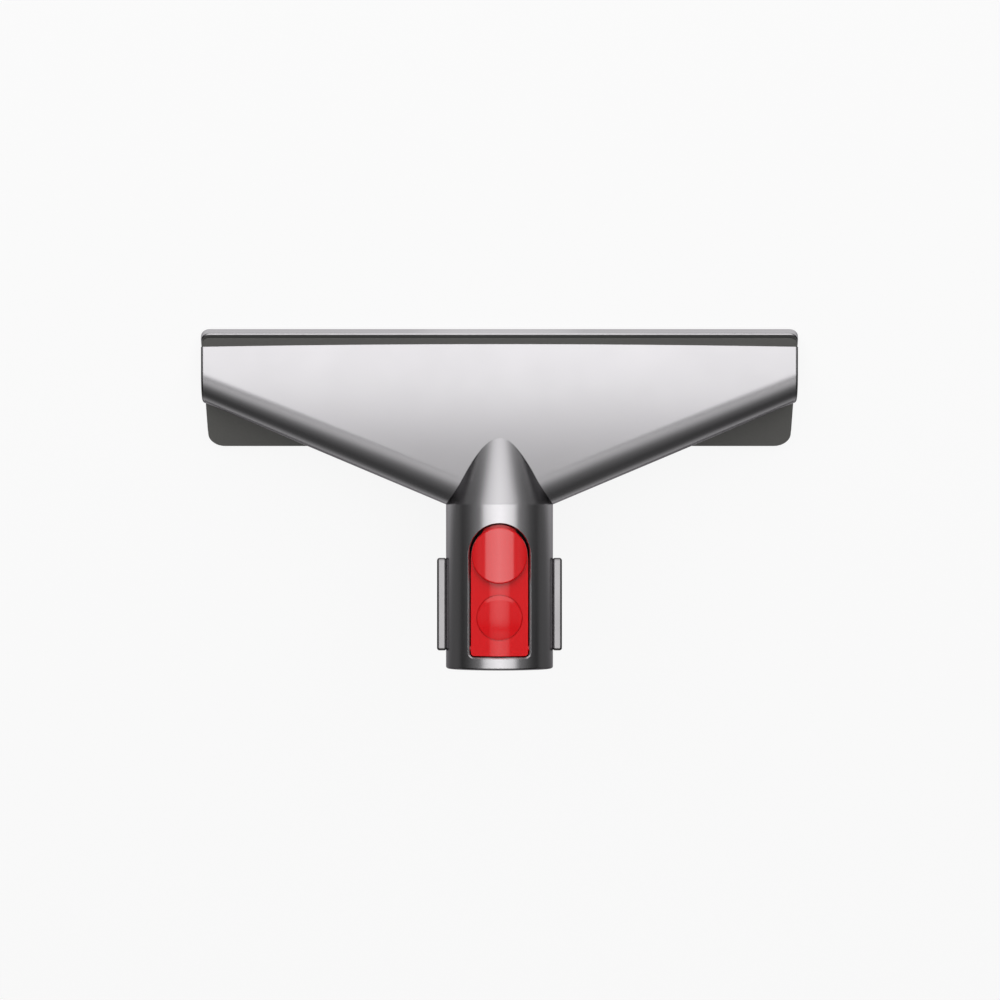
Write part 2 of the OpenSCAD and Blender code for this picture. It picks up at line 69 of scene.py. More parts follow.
def neck_turn(direction):
    """Turns a direction given across, along and out of the neck into the frame's own."""
    return direction[0] * ACROSS_NECK + direction[1] * ALONG_NECK + direction[2] * OUT_OF_NECK


def neck_point(place):
    """Turns a place given in millimetres on the neck's axes into one of the frame."""
    return (neck_turn(place) + Vector((0, NECK_FOOT_Y, 0))) * MM


camera_data = bpy.data.cameras.new("camera")
camera_data.lens = CAMERA_LENS
camera_data.sensor_width = SENSOR_WIDTH
camera_data.clip_end = VIEW_REACH
camera = bpy.data.objects.new("camera", camera_data)
scene.collection.objects.link(camera)
camera_axes = Matrix((-ACROSS_NECK, -ALONG_NECK, OUT_OF_NECK)).transposed()
camera_place = neck_point((CAMERA_X, CAMERA_V, CAMERA_DISTANCE))
camera.matrix_world = Matrix.Translation(camera_place) @ camera_axes.to_4x4()
scene.camera = camera
scene.view_settings.view_transform = "Standard"


def put(tree, kind, sockets=None, **settings):
    """Adds a shader node. Each socket is given a value or the output that feeds it."""
    added = tree.nodes.new("ShaderNode" + kind)
    for name, value in settings.items():
        setattr(added, name, value)
    for key, value in (sockets or {}).items():
        if isinstance(value, bpy.types.NodeSocket):
            tree.links.new(value, added.inputs[key])
        else:
            added.inputs[key].default_value = value
    return added


def brightness_curve(tree, angle, stops):
    """Reads a brightness off stops of (degrees, value), for an angle in radians."""
    low, high = stops[0][0], stops[-1][0]
    share = put(tree, "MapRange", {"Value": angle, "From Min": math.radians(low),
                                   "From Max": math.radians(high)})
    curve = put(tree, "ValToRGB", {"Fac": share.outputs["Result"]})
    elements = curve.color_ramp.elements
    elements.remove(elements[1])
    for i, (degrees, value) in enumerate(stops):
        place = (degrees - low) / (high - low)
        stop = elements[0] if i == 0 else elements.new(place)
        stop.position = place
        stop.color = (value, value, value, 1)
    return curve.outputs["Color"]


# The wide panel stands square to the neck. It is bright to 33 degrees each side and soft at
# its edges, with dark cloth beside and over it, and the sweep rises pale behind the nozzle.
# The stops are degrees off the panel's middle, with their brightness.
PANEL_STRENGTH = 1.85
SIDEWAYS = ((0, 1), (15, 0.86), (22, 0.8), (28, 0.73), (33, 0.68), (36, 0.48), (39, 0.14),
            (45, 0.12), (53, 0.14), (61, 0.1), (70, 0.065), (90, 0.038))
ENDWAYS = ((-60, 0.79), (-45, 0.79), (-30, 0.76), (-18, 0.62), (-8, 0.66), (0, 1.21),
           (3, 1.36), (6, 0.27), (10, 0.05), (16, 0.48), (22, 0.37), (28, 0.32), (34, 0.18),
           (40, 0.12), (50, 0.08), (70, 0.04), (95, 0.055), (110, 0.17), (135, 0.42),
           (160, 0.5))

world = bpy.data.worlds.new("studio")
scene.world = world
world.use_nodes = True
world.node_tree.nodes.clear()
tent = world.node_tree
view = put(tent, "TexCoord").outputs["Generated"]
reach = {}
for name, direction in (("x", ACROSS_NECK), ("v", ALONG_NECK), ("w", OUT_OF_NECK)):
    reach[name] = put(tent, "VectorMath", {0: view, 1: direction},
                      operation="DOT_PRODUCT").outputs["Value"]
off_middle = put(tent, "Math", {0: reach["x"]}, operation="ABSOLUTE")
sideways = put(tent, "Math", {0: off_middle.outputs[0]}, operation="ARCSINE")
endways = put(tent, "Math", {0: reach["v"], 1: reach["w"]}, operation="ARCTAN2")
glow = put(tent, "Math", {0: brightness_curve(tent, sideways.outputs[0], SIDEWAYS),
                          1: brightness_curve(tent, endways.outputs[0], ENDWAYS)},
           operation="MULTIPLY")
tent_light = put(tent, "Background", {"Color": glow.outputs[0], "Strength": PANEL_STRENGTH})
put(tent, "OutputWorld", {"Surface": tent_light.outputs[0]})

# A second soft panel fills the matt surfaces and gives the nozzle its shadow, and a weak
# one overhead lights the flats. Neither is seen in the gloss.
FILL_SIZE = 1.3
FILL_POWER = 14.5
FILL_PLACE = (0, -600, 950)
FILL_AIM = (0, 50, 0)
fill_data = bpy.data.lights.new("fill_panel", "AREA")
fill_data.shape = "SQUARE"
fill_data.size = FILL_SIZE
fill_data.energy = FILL_POWER
fill_panel = bpy.data.objects.new("fill_panel", fill_data)
scene.collection.objects.link(fill_panel)
fill_panel.location = neck_point(FILL_PLACE)
aim = fill_panel.location - neck_point(FILL_AIM)
fill_panel.rotation_euler = aim.to_track_quat("Z", "X").to_euler()
fill_panel.visible_glossy = False

TOP_SIZE = 1.2
TOP_POWER = 4.5
TOP_HEIGHT = 1.3
top_data = bpy.data.lights.new("top_panel", "AREA")
top_data.shape = "SQUARE"
top_data.size = TOP_SIZE
top_data.energy = TOP_POWER
top_panel = bpy.data.objects.new("top_panel", top_data)
scene.collection.objects.link(top_panel)
top_panel.location.z = TOP_HEIGHT
top_panel.visible_glossy = False

FLOOR_REACH = 6
FLOOR_GAP = 0.0001
floor_mesh = bpy.data.meshes.new("floor")
floor_mesh.from_pydata([(-FLOOR_REACH, -FLOOR_REACH, 0), (FLOOR_REACH, -FLOOR_REACH, 0),
                        (FLOOR_REACH, FLOOR_REACH, 0), (-FLOOR_REACH, FLOOR_REACH, 0)],
                       [], [(0, 1, 2, 3)])
floor = bpy.data.objects.new("floor", floor_mesh)
scene.collection.objects.link(floor)
floor.location.z = -FLOOR_GAP

# The sweep is white to the camera and keeps the nozzle's shadow. The metal sees it as a
# lane of light, which widens in front and fades to both sides, and pale close round the
# head. LANE_HALF and CLEAR_OF_HEAD are each for in front of the head and for behind it.
FLOOR_COLOUR = (0.85, 0.85, 0.85, 1)
SHADOW_SHARE = 0.12
LANE_HALF = (0.032, 0.073)
LANE_SPREAD = 0.45
LANE_TURN_Y = (-0.02, 0.03)
LANE_FADE = 4.0
LANE_LEAST = 0.1
HEAD_HALF = (0.0992, 0.0253, 0)
HEAD_GLOW = 0.86
CLOSE_TO_HEAD = 0.005
CLEAR_OF_HEAD = (0.012, 0.045)
floor_paint = bpy.data.materials.new("pale_floor")
floor_paint.use_nodes = True
sweep = floor_paint.node_tree
sweep.nodes.clear()
path = put(sweep, "LightPath")
place = put(sweep, "NewGeometry").outputs["Position"]
spot = put(sweep, "VectorMath", {0: place}, operation="ABSOLUTE")
beside = put(sweep, "SeparateXYZ", {0: spot.outputs[0]})
onward = put(sweep, "SeparateXYZ", {0: place}).outputs["Y"]


def in_front_or_behind(values):
    """Goes over from the value for in front of the head to the one for behind it."""
    return put(sweep, "MapRange", {"Value": onward, "From Min": LANE_TURN_Y[0],
                                   "From Max": LANE_TURN_Y[1], "To Min": values[0],
                                   "To Max": values[1]}).outputs["Result"]


before = put(sweep, "Math", {0: onward, 1: -LANE_SPREAD}, operation="MULTIPLY")
before = put(sweep, "Math", {0: before.outputs[0], 1: 0.0}, operation="MAXIMUM")
half = put(sweep, "Math", {0: before.outputs[0], 1: in_front_or_behind(LANE_HALF)},
           operation="ADD")
beside = put(sweep, "Math", {0: beside.outputs["X"], 1: half.outputs[0]},
             operation="DIVIDE")
beside = put(sweep, "Math", {0: beside.outputs[0], 1: LANE_FADE}, operation="POWER")
beside = put(sweep, "Math", {0: beside.outputs[0], 1: 1.0}, operation="ADD")
lane = put(sweep, "Math", {0: 1 - LANE_LEAST, 1: beside.outputs[0]}, operation="DIVIDE")
lane = put(sweep, "Math", {0: lane.outputs[0], 1: LANE_LEAST}, operation="ADD")
away = put(sweep, "VectorMath", {0: spot.outputs[0], 1: HEAD_HALF}, operation="SUBTRACT")
away = put(sweep, "VectorMath", {0: away.outputs[0], 1: (0, 0, 0)}, operation="MAXIMUM")
away = put(sweep, "VectorMath", {0: away.outputs[0]}, operation="LENGTH")
beneath = put(sweep, "MapRange", {"Value": away.outputs["Value"], "From Min": CLOSE_TO_HEAD,
                                  "From Max": in_front_or_behind(CLEAR_OF_HEAD),
                                  "To Min": HEAD_GLOW, "To Max": 0.0})
lane = put(sweep, "Math", {0: lane.outputs[0], 1: beneath.outputs["Result"]},
           operation="MAXIMUM")
seen = put(sweep, "MapRange", {"Value": path.outputs["Is Camera Ray"],
                               "To Min": lane.outputs[0], "To Max": 1.0})
in_gloss = put(sweep, "Math", {0: path.outputs["Is Glossy Ray"],
                               1: path.outputs["Is Transmission Ray"]}, operation="MAXIMUM")
to_camera = put(sweep, "Math", {0: path.outputs["Is Camera Ray"], 1: 1 - SHADOW_SHARE},
                operation="MULTIPLY")
shown = put(sweep, "Math", {0: in_gloss.outputs[0], 1: to_camera.outputs[0]},
            operation="MAXIMUM")
lit = put(sweep, "BsdfDiffuse", {"Color": FLOOR_COLOUR})
white = put(sweep, "Emission", {"Strength": seen.outputs["Result"]})
both = put(sweep, "MixShader", {0: shown.outputs[0], 1: lit.outputs[0], 2: white.outputs[0]})
put(sweep, "OutputMaterial", {"Surface": both.outputs[0]})
floor_mesh.materials.append(floor_paint)

# Sole plate. A flat silver plate with a lip, moulded and painted. The suction slot with its
# bridges and the two strip recesses are cut in its face, and a groove on top takes the
# cover's weld rib.
CLOUD_SCALE = 60.0


def moulded_skin():
    """Colour, roughness and normal of a moulded or painted face: mottling, grain and peel."""
    group = bpy.data.node_groups.new("moulded_skin", "ShaderNodeTree")
    face = group.interface
    for name, kind, value in (("Colour", "NodeSocketColor", (0.5, 0.5, 0.5, 1)),
                              ("Colour spread", "NodeSocketFloat", 0.03),
                              ("Roughness", "NodeSocketFloat", 0.3),
                              ("Roughness spread", "NodeSocketFloat", 0.02),
                              ("Grain scale", "NodeSocketFloat", 5000.0),
                              ("Grain height", "NodeSocketFloat", 2e-6),
                              ("Peel scale", "NodeSocketFloat", 500.0),
                              ("Peel height", "NodeSocketFloat", 1e-6)):
        face.new_socket(name, in_out="INPUT", socket_type=kind).default_value = value
    for name, kind in (("Colour", "NodeSocketColor"), ("Roughness", "NodeSocketFloat"),
                       ("Normal", "NodeSocketVector")):
        face.new_socket(name, in_out="OUTPUT", socket_type=kind)
    given = group.nodes.new("NodeGroupInput").outputs
    place = put(group, "TexCoord").outputs["Object"]
    cloud = put(group, "TexNoise", {"Vector": place, "Scale": CLOUD_SCALE, "Detail": 3.0})
    grain = put(group, "TexNoise", {"Vector": place, "Scale": given["Grain scale"],
                                    "Detail": 2.0})
    peel = put(group, "TexNoise", {"Vector": place, "Scale": given["Peel scale"],
                                   "Detail": 0.0})
    swing = put(group, "Math", {0: grain.outputs["Fac"], 1: 0.5}, operation="SUBTRACT")
    swing = put(group, "Math", {0: swing.outputs[0], 1: given["Colour spread"], 2: 1.0},
                operation="MULTIPLY_ADD")
    tone = put(group, "VectorMath", {0: given["Colour"], "Scale": swing.outputs[0]},
               operation="SCALE")
    rub = put(group, "Math", {0: cloud.outputs["Fac"], 1: 0.5}, operation="SUBTRACT")
    rough = put(group, "Math", {0: rub.outputs[0], 1: given["Roughness spread"],
                                2: given["Roughness"]}, operation="MULTIPLY_ADD")
    fine = put(group, "Math", {0: grain.outputs["Fac"], 1: given["Grain height"]},
               operation="MULTIPLY")
    height = put(group, "Math", {0: peel.outputs["Fac"], 1: given["Peel height"],
                                 2: fine.outputs[0]}, operation="MULTIPLY_ADD")
    bump = put(group, "Bump", {"Height": height.outputs[0], "Distance": 1.0})
    end = group.nodes.new("NodeGroupOutput")
    group.links.new(tone.outputs[0], end.inputs["Colour"])
    group.links.new(rough.outputs[0], end.inputs["Roughness"])
    group.links.new(bump.outputs["Normal"], end.inputs["Normal"])
    return group


MOULDED_SKIN = moulded_skin()


def finish(name, skin, **shader):
    """A material on the moulded skin. Its shader's own sockets are set by their names."""
    made = bpy.data.materials.new(name)
    made.use_nodes = True
    tree = made.node_tree
    surface = put(tree, "Group", node_tree=MOULDED_SKIN)
    for key, value in skin.items():
        surface.inputs[key].default_value = value
    principled = tree.nodes["Principled BSDF"]
    for key, socket in (("Base Color", "Colour"), ("Roughness", "Roughness"),
                        ("Normal", "Normal")):
        tree.links.new(surface.outputs[socket], principled.inputs[key])
    for key, value in shader.items():
        principled.inputs[key.replace("_", " ")].default_value = value
    return made


def dress(node, material):
    """Gives a solid of the frame its finish."""
    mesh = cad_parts[node].data
    mesh.materials.clear()
    mesh.materials.append(material)


SILVER = (0.553, 0.541, 0.557, 1)
SILVER_EDGE = (0.3, 0.29, 0.3, 1)


def silver_finish(name, colour):
    """Fine silver paint, nearly smooth, which goes darker at its edges."""
    return finish(name, {"Colour": colour, "Colour spread": 0.05, "Roughness": 0.25,
                         "Roughness spread": 0.05, "Grain scale": 9000.0,
                         "Grain height": 1e-7, "Peel scale": 350.0, "Peel height": 4e-7},
                  Metallic=1.0, Specular_Tint=SILVER_EDGE)


silver_paint = silver_finish("silver_paint", SILVER)
dress("sole_plate", silver_paint)

# Cover plate. Matt dark-grey plate welded into the sole, with a spark-eroded grain. The duct
# stands in its aperture, between two ribs.
DARK_GREY = (0.125, 0.124, 0.118, 1)
# How dark the cover's upright sides are painted, as painted shade.
SIDE_PAINTED_SHADE = 0.16
FLATNESS = (0.45, 0.85)
matt_grey = finish("matt_grey_plastic",
                   {"Colour": DARK_GREY, "Colour spread": 0.35, "Roughness": 0.5,
                    "Roughness spread": 0.12, "Grain scale": 4200.0,
                    "Grain height": 2.5e-5, "Peel scale": 400.0, "Peel height": 0.0},
                   Specular_IOR_Level=0.2)
# The narrow upright sides carry painted shade: where a face is near upright its colour is
# scaled down, and the flat faces keep their own colour. The grain is the same on all faces.
cover_look = matt_grey.node_tree
cover_skin = next(node for node in cover_look.nodes if node.type == "GROUP")
upward = put(cover_look, "SeparateXYZ", {0: put(cover_look, "TexCoord").outputs["Normal"]})
flat = put(cover_look, "Math", {0: upward.outputs["Z"]}, operation="ABSOLUTE")
flat = put(cover_look, "MapRange", {"Value": flat.outputs[0], "From Min": FLATNESS[0],
                                    "From Max": FLATNESS[1], "To Min": SIDE_PAINTED_SHADE})
tone = put(cover_look, "VectorMath", {0: cover_skin.outputs["Colour"],
                                      "Scale": flat.outputs["Result"]}, operation="SCALE")
cover_look.links.new(tone.outputs[0], cover_look.nodes["Principled BSDF"].inputs["Base Color"])
dress("cover_plate", matt_grey)

# Lint strips. Two strips of dark-red velour, cut with round ends and bonded in the sole's
# recesses, so that the crown of their pile stands just clear of the sole's face.
SAME_SPOT = 1e-5
SAME_LINE = 1e-6


def inside(place, loop):
    """Whether a point of a flat drawing lies in a closed line."""
    within = False
    for (ax, ay), (bx, by) in zip(loop, loop[1:] + loop[:1]):
        if (ay > place[1]) != (by > place[1]):
            if place[0] < ax + (place[1] - ay) / (by - ay) * (bx - ax):
                within = not within
    return within


class Skin:
    """The surface of one piece, laid on in patches whose normals are known."""

    def __init__(self):
        self.places, self.normals, self.faces, self.coats = [], [], [], []
        self.coat = 0

    def point(self, place, normal):
        self.places.append(Vector(place))
        self.normals.append(Vector(normal).normalized())
        return len(self.places) - 1

    def face(self, corners):
        """Adds a face with its outer side where its points' normals go."""
        kept = [a for a, b in zip(corners, corners[1:] + corners[:1])
                if (self.places[a] - self.places[b]).length > SAME_SPOT]
        if len(kept) < 3:
            return
        first = self.places[kept[0]]
        lay = Vector((0, 0, 0))
        for a, b in zip(kept[1:], kept[2:]):
            lay += (self.places[a] - first).cross(self.places[b] - first)
        if lay.dot(sum((self.normals[i] for i in kept), Vector((0, 0, 0)))) < 0:
            kept.reverse()
        self.faces.append(kept)
        self.coats.append(self.coat)

    def grid(self, rows, closed=False, hidden=None):
        """Joins rows of (place, normal) by four-sided faces, but for the hidden ones."""
        index = [[self.point(*spot) for spot in row] for row in rows]
        for low, high in zip(index, index[1:]):
            count = len(low)
            for i in range(count if closed else count - 1):
                k = (i + 1) % count
                corners = [low[i], low[k], high[k], high[i]]
                if not (hidden and all(hidden(self.places[c]) for c in corners)):
                    self.face(corners)

    def sheet(self, rim, holes, inner, lift):
        """Fills a flat outline with holes, and lifts each point to (place, normal)."""
        flat, edges = [], []
        for loop in [rim] + holes:
            start, count = len(flat), len(loop)
            flat += [Vector(spot) for spot in loop]
            edges += [(start + i, start + (i + 1) % count) for i in range(count)]

        def filled(spot):
            return inside(spot, rim) and not any(inside(spot, hole) for hole in holes)

        flat += [Vector(spot) for spot in inner if filled(spot)]
        flat, _, triangles = delaunay_2d_cdt(flat, edges, [], 0, SAME_LINE)[:3]
        index = [self.point(*lift(spot.x, spot.y)) for spot in flat]
        for triangle in triangles:
            if filled(sum((flat[i] for i in triangle), Vector((0, 0))) / 3):
                self.face([index[i] for i in triangle])

    def piece(self, name, materials, place, turn):
        """Makes the object, with its points and normals turned into the frame."""
        mesh = bpy.data.meshes.new(name)
        mesh.from_pydata([place(spot) for spot in self.places], [], self.faces)
        mesh.shade_smooth()
        mesh.normals_split_custom_set_from_vertices([turn(normal) for normal in self.normals])
        for material in materials:
            mesh.materials.append(material)
        mesh.polygons.foreach_set("material_index", self.coats)
        made = bpy.data.objects.new(name, mesh)
        scene.collection.objects.link(made)
        return made


# The crown of the pile, as (inset, height over the lowest point), from the sole down.
STRIP_CROWN = ((0, 0.9), (0, 0.4), (0.1, 0.2), (0.35, 0.08), (0.8, 0.04), (1.4, 0.015),
               (2.1, 0), (3, 0))
STRIP_STEP = 0.7
ROUND_END_STEPS = 14
PILE_SIDE = 0.4
PILE_TURN = 1.4
PILE_WAVES = 1.9
PILE_UNEVEN = 0.03
TUFT_SCALE = 5200.0
TUFT_HEIGHT = 0.00012
SWIRL_SCALE = 160.0
PILE_DEEP = (0.03, 0.001, 0.004, 1)
PILE_BRIGHT = (0.26, 0.006, 0.022, 1)

velour = bpy.data.materials.new("velour")
velour.use_nodes = True
pile = velour.node_tree
pile_place = put(pile, "TexCoord").outputs["Object"]
tufts = put(pile, "TexNoise", {"Vector": pile_place, "Scale": TUFT_SCALE, "Detail": 3.0})
swirls = put(pile, "TexNoise", {"Vector": pile_place, "Scale": SWIRL_SCALE, "Detail": 2.0})
shade = put(pile, "Math", {0: swirls.outputs["Fac"], 1: 0.5, 2: 0.25}, operation="MULTIPLY_ADD")
shade = put(pile, "Math", {0: tufts.outputs["Fac"], 1: 0.5, 2: shade.outputs[0]},
            operation="MULTIPLY_ADD")
tint = put(pile, "Mix", {"Factor": shade.outputs[0], "A": PILE_DEEP, "B": PILE_BRIGHT},
           data_type="RGBA")
tip = put(pile, "Bump", {"Height": tufts.outputs["Fac"], "Distance": TUFT_HEIGHT})
velour_skin = pile.nodes["Principled BSDF"]
pile.links.new(tint.outputs["Result"], velour_skin.inputs["Base Color"])
pile.links.new(tip.outputs["Normal"], velour_skin.inputs["Normal"])
for key, value in (("Roughness", 0.95), ("Specular IOR Level", 0.1), ("Sheen Weight", 0.6),
                   ("Sheen Roughness", 0.4)):
    velour_skin.inputs[key].default_value = value

for strip_node in ("lint_strip_front", "lint_strip_rear"):
    low, high = (Vector(corner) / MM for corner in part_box(strip_node))
    middle = (low + high) / 2
    end_r = (high.y - low.y) / 2
    half_straight = (high.x - low.x) / 2 - end_r
    across = [half_straight - STRIP_STEP * i
              for i in range(int(2 * half_straight / STRIP_STEP) + 1)] + [-half_straight]
    around = [math.pi * i / ROUND_END_STEPS for i in range(1, ROUND_END_STEPS)]
    velour_strip = Skin()
    rows = []
    for inset, height in STRIP_CROWN:
        r = end_r - inset
        loop = [(x, r, 0, 1) for x in across]
        loop += [(-half_straight - r * math.sin(a), r * math.cos(a), -math.sin(a), math.cos(a))
                 for a in around]
        loop += [(-x, -y, -nx, -ny) for x, y, nx, ny in loop]
        down = min(1, PILE_TURN * inset) if height < PILE_SIDE else 0
        row = []
        for x, y, nx, ny in loop:
            wave = noise.noise(Vector((x, y + middle.y, 0)) * PILE_WAVES) * (down > 0)
            row.append(((middle.x + x, middle.y + y, low.z + height + abs(PILE_UNEVEN * wave)),
                        (nx * (1 - down), ny * (1 - down), -down)))
        rows.append(row)
    backing = [((place[0], place[1], high.z), (0, 0, 1)) for place, _ in rows[0]]
    rows[0] = [((place[0], place[1], high.z), normal) for place, normal in rows[0]]
    velour_strip.grid(rows, closed=True)
    velour_strip.face([velour_strip.point(*spot) for spot in backing])
    strip = velour_strip.piece(strip_node.replace("lint", "velour"), [velour],
                               lambda spot: spot * MM, Vector)
    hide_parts(strip_node)
    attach(strip, "nozzle")

# Duct. The silver fan that gathers the air: a hollow moulding with a crowned face, round
# sloping edges and a shoulder that swells into the neck. It is painted like the sole, and
# stands on the cover.
HALF_HEAD = 99.2
HALF_FAN = 10.3
FACE_DROP = 0.85
NECK_R = 17.9
SEAM_V = 49.4
FAN_END_V = 15.1
END_EDGE_R = 1.0
COVER_TOP_Z = 4.6
FACE_FOOT_V = -3.8
FACE_LEAN = 0.014
FACE_BEND = 0.0009
EDGE_FULLNESS = (2.12, 2.5)
EDGE_FULLNESS_X = (33.0, 90.0)
SHOULDER_FOOT = (9.0, 27.3)
SHOULDER_SIDE_R = 400.0
SHOULDER_ROOT = 4
OVERLAP = 0.15
TOUCHING = 0.1
SLOPE = math.atan2(SEAM_V - FAN_END_V, HALF_HEAD - NECK_R)
FACE_R = (HALF_HEAD ** 2 + FACE_DROP ** 2) / (2 * FACE_DROP)
FOOT_REACH = COVER_TOP_Z / math.sin(NECK_TILT)
SHARPEST = 0.02

shoulder_chord = Vector((NECK_R - SHOULDER_FOOT[0], SEAM_V - SHOULDER_FOOT[1]))
shoulder_out = Vector((shoulder_chord.y, -shoulder_chord.x)).normalized()
shoulder_middle = (Vector((NECK_R, SEAM_V)) + Vector(SHOULDER_FOOT)) / 2
SHOULDER_C = shoulder_middle - shoulder_out * math.sqrt(
    SHOULDER_SIDE_R ** 2 - (shoulder_chord.length / 2) ** 2)


def share_between(value, start, end):
    """How far a value has gone from start to end, kept between 0 and 1."""
    return min(max((value - start) / (end - start), 0), 1)


def upright_face(x):
    """Height of the fan's crowned face over its middle plane, as if it didn't lean."""
    return HALF_FAN - FACE_R + math.sqrt(FACE_R ** 2 - x * x)


def face_lean(v):
    """How far the face has come in at a height, and how fast."""
    up = max(v - FACE_FOOT_V, 0)
    return FACE_LEAN * up + FACE_BEND * up * up, FACE_LEAN + 2 * FACE_BEND * up


def sloping_edge(x):
    """Height of the fan's sloping edge."""
    return SEAM_V + (NECK_R - abs(x)) * math.tan(SLOPE)


def fan_depth(x, v, leaning=1):
    """Height of the fan's outside over its middle plane, with its two slopes."""
    face = upright_face(x)
    come_in, pace = face_lean(v)
    w = face - leaning * come_in
    slope_x, slope_v = -x / FACE_R, -leaning * pace
    from_edge = (sloping_edge(x) - v) * math.cos(SLOPE)
    if from_edge < face:
        share = share_between(abs(x), *EDGE_FULLNESS_X)
        full = EDGE_FULLNESS[0] * (1 - share) + EDGE_FULLNESS[1] * share
        over = 1 - max(from_edge, 0) / face
        round_off = max((1 - over ** full) ** (1 / full), SHARPEST)
        steep = w / face * (over / round_off) ** (full - 1)
        slope_x = slope_x * round_off - steep * math.copysign(math.sin(SLOPE), x)
        slope_v = slope_v * round_off - steep * math.cos(SLOPE)
        w *= round_off if from_edge > 0 else 0
    return w, slope_x, slope_v


def shoulder_radius(v):
    """Radius of the shoulder, which is round about the neck, and its slope."""
    up = v - SHOULDER_C.y
    flank = math.sqrt(SHOULDER_SIDE_R ** 2 - up * up)
    return SHOULDER_C.x + flank, -up / flank


def in_shoulder(spot):
    """Whether a point of the fan is well inside the shoulder."""
    r = shoulder_radius(spot[1])[0]
    above_root = spot[1] > SHOULDER_FOOT[1] - SHOULDER_ROOT
    return above_root and math.hypot(spot[0], spot[2]) < r - OVERLAP


def fan_spot(x, v, side):
    """A point of the fan's outside, in front (side 1) or behind (-1), with its normal."""
    w, slope_x, slope_v = fan_depth(x, v)
    return (x, v, side * w), (-slope_x, -slope_v, side)


def halved(low, high, still_low, times):
    """Finds by halving where a condition ends between two numbers."""
    for _ in range(times):
        middle = (low + high) / 2
        if still_low(middle):
            low = middle
        else:
            high = middle
    return low


FAN_RUN = 90.0
DUCT_ROWS = 84
ROW_SPREAD = 1.15


def duct_section(x, side):
    """Points from the sloping edge, or the seam, down to the foot on the cover."""
    face, edge_v = upright_face(x), sloping_edge(x)
    below_seam = max(edge_v - SEAM_V, 0) * math.cos(SLOPE)
    start = math.acos(1 - below_seam / face)

    def at(run):
        turn = start + run / face
        if turn < math.pi / 2:
            return edge_v - face * (1 - math.cos(turn)) / math.cos(SLOPE)
        return edge_v - face / math.cos(SLOPE) - (run - (math.pi / 2 - start) * face)

    def above_cover(run):
        _, v, w = fan_spot(x, at(run), 1)[0]
        return v + side * w > FOOT_REACH

    foot = halved(0.0, FAN_RUN, above_cover, times=30)
    section = []
    for i in range(DUCT_ROWS + 1):
        spot, normal = fan_spot(x, at(foot * (i / DUCT_ROWS) ** ROW_SPREAD), side)
        if i == 0 and abs(x) >= NECK_R:
            spot = (x, edge_v, 0)
            normal = (math.copysign(math.sin(SLOPE), x), math.cos(SLOPE), 0)
        section.append((spot, normal))
    return section


NEAR_COLUMNS = [0.8 * i for i in range(31)]
FAR_COLUMNS = [25.0 + 2.4 * i for i in range(31)]
END_EDGE_STEPS = 5
columns = NEAR_COLUMNS + FAR_COLUMNS + [HALF_HEAD - END_EDGE_R]
columns = [-x for x in reversed(columns[1:])] + columns
duct_skin = Skin()
end_sections = {}
for side in (1, -1):
    sections = [duct_section(x, side) for x in columns]
    duct_skin.grid(sections, hidden=in_shoulder)
    for way, last in ((-1, sections[0]), (1, sections[-1])):
        turned = []
        for i in range(END_EDGE_STEPS + 1):
            e = math.pi / 2 * i / END_EDGE_STEPS
            row = []
            for (x, v, w), normal in last:
                flat = Vector((0, normal[1], normal[2])).normalized()
                draw = END_EDGE_R * (1 - math.cos(e))
                row.append(((x + way * END_EDGE_R * math.sin(e), v - draw * flat.y,
                             w - draw * flat.z),
                            flat * math.cos(e) + Vector((way, 0, 0)) * math.sin(e)))
            turned.append(row)
        duct_skin.grid(turned)
        end_sections[side, way] = [(place, (way, 0, 0)) for place, _ in turned[-1]]
for way in (-1, 1):
    duct_skin.grid([end_sections[1, way], end_sections[-1, way]])

# The shoulder rises out of the fan, in front and behind.
SHOULDER_COLUMNS = 120
SHOULDER_ROWS = 12


def within_fan(v, turn):
    """Whether the shoulder is still inside the fan, at a height and a turn about the neck."""
    r = shoulder_radius(v)[0]
    return r * math.cos(turn) < fan_depth(r * math.sin(turn), v)[0] - OVERLAP


for side in (1, -1):
    sections = []
    for i in range(SHOULDER_COLUMNS + 1):
        a = math.pi * (i / SHOULDER_COLUMNS - 0.5)
        root = halved(SHOULDER_FOOT[1] - SHOULDER_ROOT, SEAM_V,
                      lambda v: within_fan(v, a), times=24)
        section = []
        for k in range(SHOULDER_ROWS + 1):
            v = root + (SEAM_V - root) * k / SHOULDER_ROWS
            r, flare = shoulder_radius(v)
            section.append(((r * math.sin(a), v, side * r * math.cos(a)),
                            (math.sin(a), -flare, side * math.cos(a))))
        sections.append(section)
    duct_skin.grid(sections)


def neck_way(direction):
    """A direction of the frame, on the neck's axes."""
    return Vector([direction.dot(axis) for axis in (ACROSS_NECK, ALONG_NECK, OUT_OF_NECK)])


def keep_faces(skin, node, coat_of, move=None):
    """Takes over faces of a node, with their normals. coat_of gives None for the others."""
    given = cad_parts[node].data
    corner_normals = given.corner_normals
    foot = Vector((0, NECK_FOOT_Y, 0))
    for polygon in given.polygons:
        facing = neck_way(polygon.normal)
        skin.coat = coat_of(neck_way(polygon.center / MM - foot), facing)
        if skin.coat is None:
            continue
        corners = []
        for loop in polygon.loop_indices:
            spot = given.vertices[given.loops[loop].vertex_index].co / MM - foot
            spot = neck_way(spot)
            if move:
                spot = move(spot, facing)
            corners.append(skin.point(spot, neck_way(corner_normals[loop].vector)))
        skin.face(corners)


# Its inside, with the airway and the socket, is as the frame gives it, but for the fan's
# walls, which follow the leaning faces.
OUTSIDE_DEPTH = 1.3
END_DEPTH = 0.5
FACING_DOWN = -0.9
FAN_WALL = 2.0
LEAN_END_V = (48.5, 44.0)
LEAN_END_W = (0.6, 0.1)
LEAN_START_W = 3


